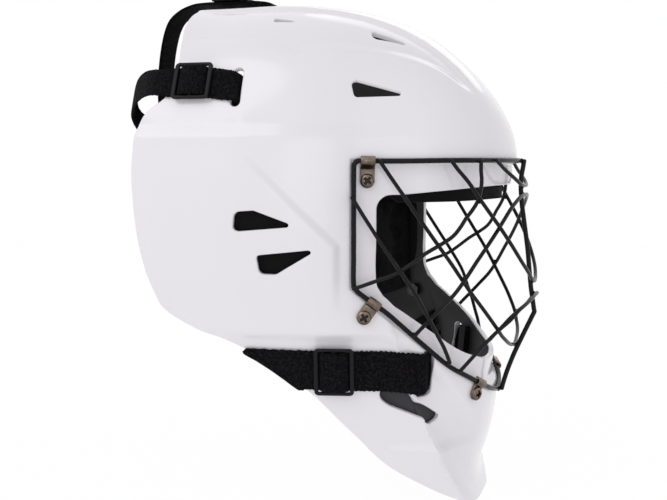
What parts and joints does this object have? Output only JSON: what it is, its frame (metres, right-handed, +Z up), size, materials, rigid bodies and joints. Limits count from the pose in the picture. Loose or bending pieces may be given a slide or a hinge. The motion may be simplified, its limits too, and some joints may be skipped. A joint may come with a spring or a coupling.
{
  "type": "goalie helmet",
  "caption": "Moulded goalie helmet shell with a rounded wire cage over the eye port, inner padding, and elastic straps with sliders that hold a back plate.",
  "frame": {"origin": "centre of the wearer's head, at eye level", "axes": "+X forward through the face, +Y to the wearer's left, +Z up"},
  "size_m": [0.2683, 0.2322, 0.3417],
  "materials": {
    "shell_white": "smooth, glossy white",
    "cage_black": "semi-gloss black powder coat",
    "clip_bronze": "dark bronze plating, satin",
    "nut_steel": "zinc plated",
    "pad_black": "foam under black knit",
    "strap_black": "ribbed black elastic",
    "slider_black": "fine-textured black"
  },
  "bodies": {
    "helmet": {"shell": "shell_white", "cage_frame": "cage_black", "cage_centre_bar": "cage_black", "cage_wires_temple": "cage_black", "cage_wire_loop": "cage_black", "cage_wire_vee": "cage_black", "cage_wire_brow": "cage_black", "cage_wires_cheek": "cage_black", "cage_wire_arch": "cage_black", "cage_wire_chin": "cage_black", "clips_temple": "clip_bronze", "clips_jaw": "clip_bronze", "clips_chin": "clip_bronze", "clip_screws": "clip_bronze", "clip_nuts": "nut_steel", "brow_pad": "pad_black", "crown_pad": "pad_black", "side_pad_right": "pad_black", "side_pad_left": "pad_black", "jaw_pad_right": "pad_black", "jaw_pad_left": "pad_black", "crown_strap": "strap_black", "upper_strap_right": "strap_black", "upper_strap_left": "strap_black", "jaw_strap_right": "strap_black", "jaw_strap_left": "strap_black", "strap_keepers": "slider_black"},
    "crown_adjuster": {"crown_slider": "slider_black", "crown_turn": "strap_black"},
    "upper_adjuster_right": {"upper_slider_right": "slider_black", "upper_turn_right": "strap_black"},
    "upper_adjuster_left": {"upper_slider_left": "slider_black", "upper_turn_left": "strap_black"},
    "jaw_adjuster_right": {"jaw_slider_right": "slider_black", "jaw_turn_right": "strap_black"},
    "jaw_adjuster_left": {"jaw_slider_left": "slider_black", "jaw_turn_left": "strap_black"},
    "back": {"back_plate": "slider_black", "back_pad": "pad_black"}
  },
  "joints": [
    {"name": "crown_slider_slide", "type": "slide", "parent": "helmet", "child": "crown_adjuster", "axis": [-1, 0, 0], "range_m": [-0.005, 0.005]},
    {"name": "upper_slider_slide_right", "type": "slide", "parent": "helmet", "child": "upper_adjuster_right", "axis": [-0.9999, 0.0122, 0], "range_m": [-0.005, 0.004]},
    {"name": "jaw_slider_slide_right", "type": "slide", "parent": "helmet", "child": "jaw_adjuster_right", "axis": [-0.984, -0.178, 0], "range_m": [-0.005, 0.004]},
    {"name": "upper_slider_slide_left", "type": "slide", "parent": "helmet", "child": "upper_adjuster_left", "axis": [-0.9999, -0.0122, 0], "range_m": [-0.005, 0.004]},
    {"name": "jaw_slider_slide_left", "type": "slide", "parent": "helmet", "child": "jaw_adjuster_left", "axis": [-0.984, 0.178, 0], "range_m": [-0.005, 0.004]},
    {"name": "back_pull", "type": "slide", "parent": "helmet", "child": "back", "axis": [-1, 0, 0], "range_m": [0, 0.02], "stiffness_N_per_m": 500, "deforming": ["crown_strap", "upper_strap_right", "jaw_strap_right", "upper_strap_left", "jaw_strap_left"]}
  ]
}
